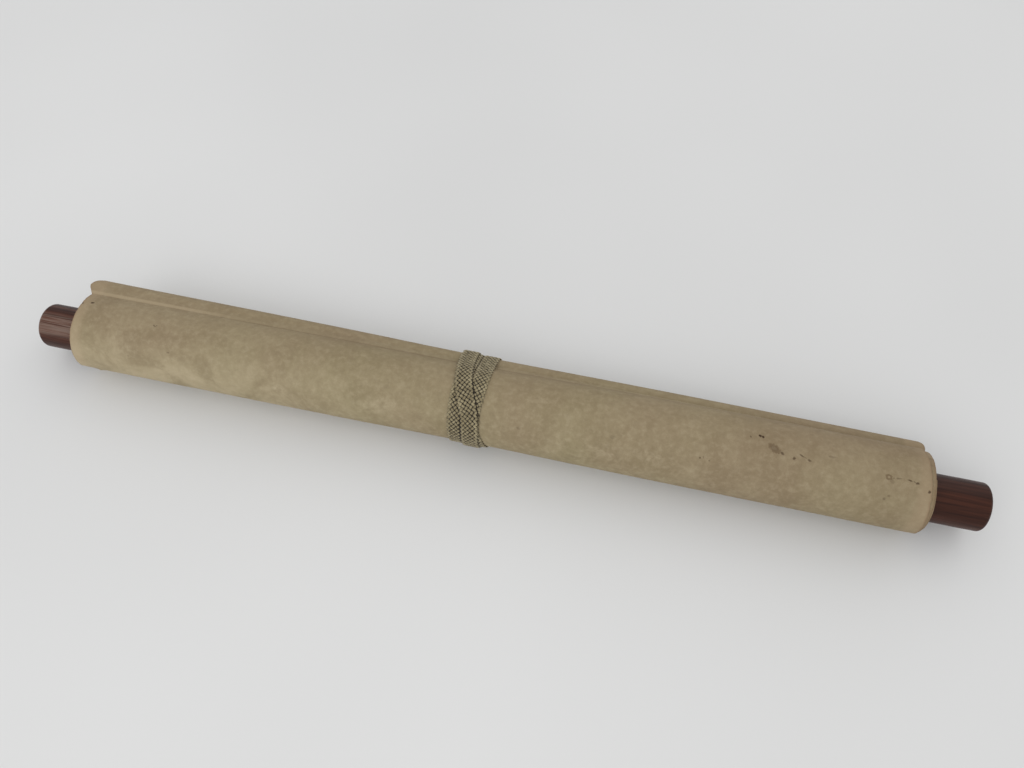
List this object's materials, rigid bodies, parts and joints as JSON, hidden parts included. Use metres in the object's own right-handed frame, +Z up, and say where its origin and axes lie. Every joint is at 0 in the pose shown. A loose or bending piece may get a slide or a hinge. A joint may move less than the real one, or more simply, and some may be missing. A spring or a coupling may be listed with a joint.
{
  "type": "hanging scroll",
  "caption": "Rolled hanging scroll: aged paper wound on a wooden roller with dark turned knobs, a half-round stave in its outer end, tied round the middle with a flat braided cord",
  "frame": {"origin": "on the flat underside of the cord, which the scroll rests on, straight below the roller's axis and half way between the knobs' outer faces", "axes": "+X along the roller from the left knob to the right knob, +Y to the back, the side with the stave, +Z up"},
  "size_m": [0.6, 0.0636, 0.0528],
  "materials": {
    "aged_paper": "matt, aged khaki beige with stains and a few dark spots",
    "plain_wood": "bare softwood, planed",
    "dark_wood": "dark red-brown hardwood, turned and polished glossy",
    "eyelet_brass": "drawn wire, dulled with age",
    "cord_braid": "flat beige braid, dark in the gaps between strands"
  },
  "bodies": {
    "root": {"scroll_sheet": "aged_paper", "roller_rod": "plain_wood", "left_roller_knob": "dark_wood", "right_roller_knob": "dark_wood", "top_stave": "plain_wood", "left_eyelet": "eyelet_brass", "right_eyelet": "eyelet_brass", "wrapping_cord": "cord_braid"}
  },
  "joints": []
}
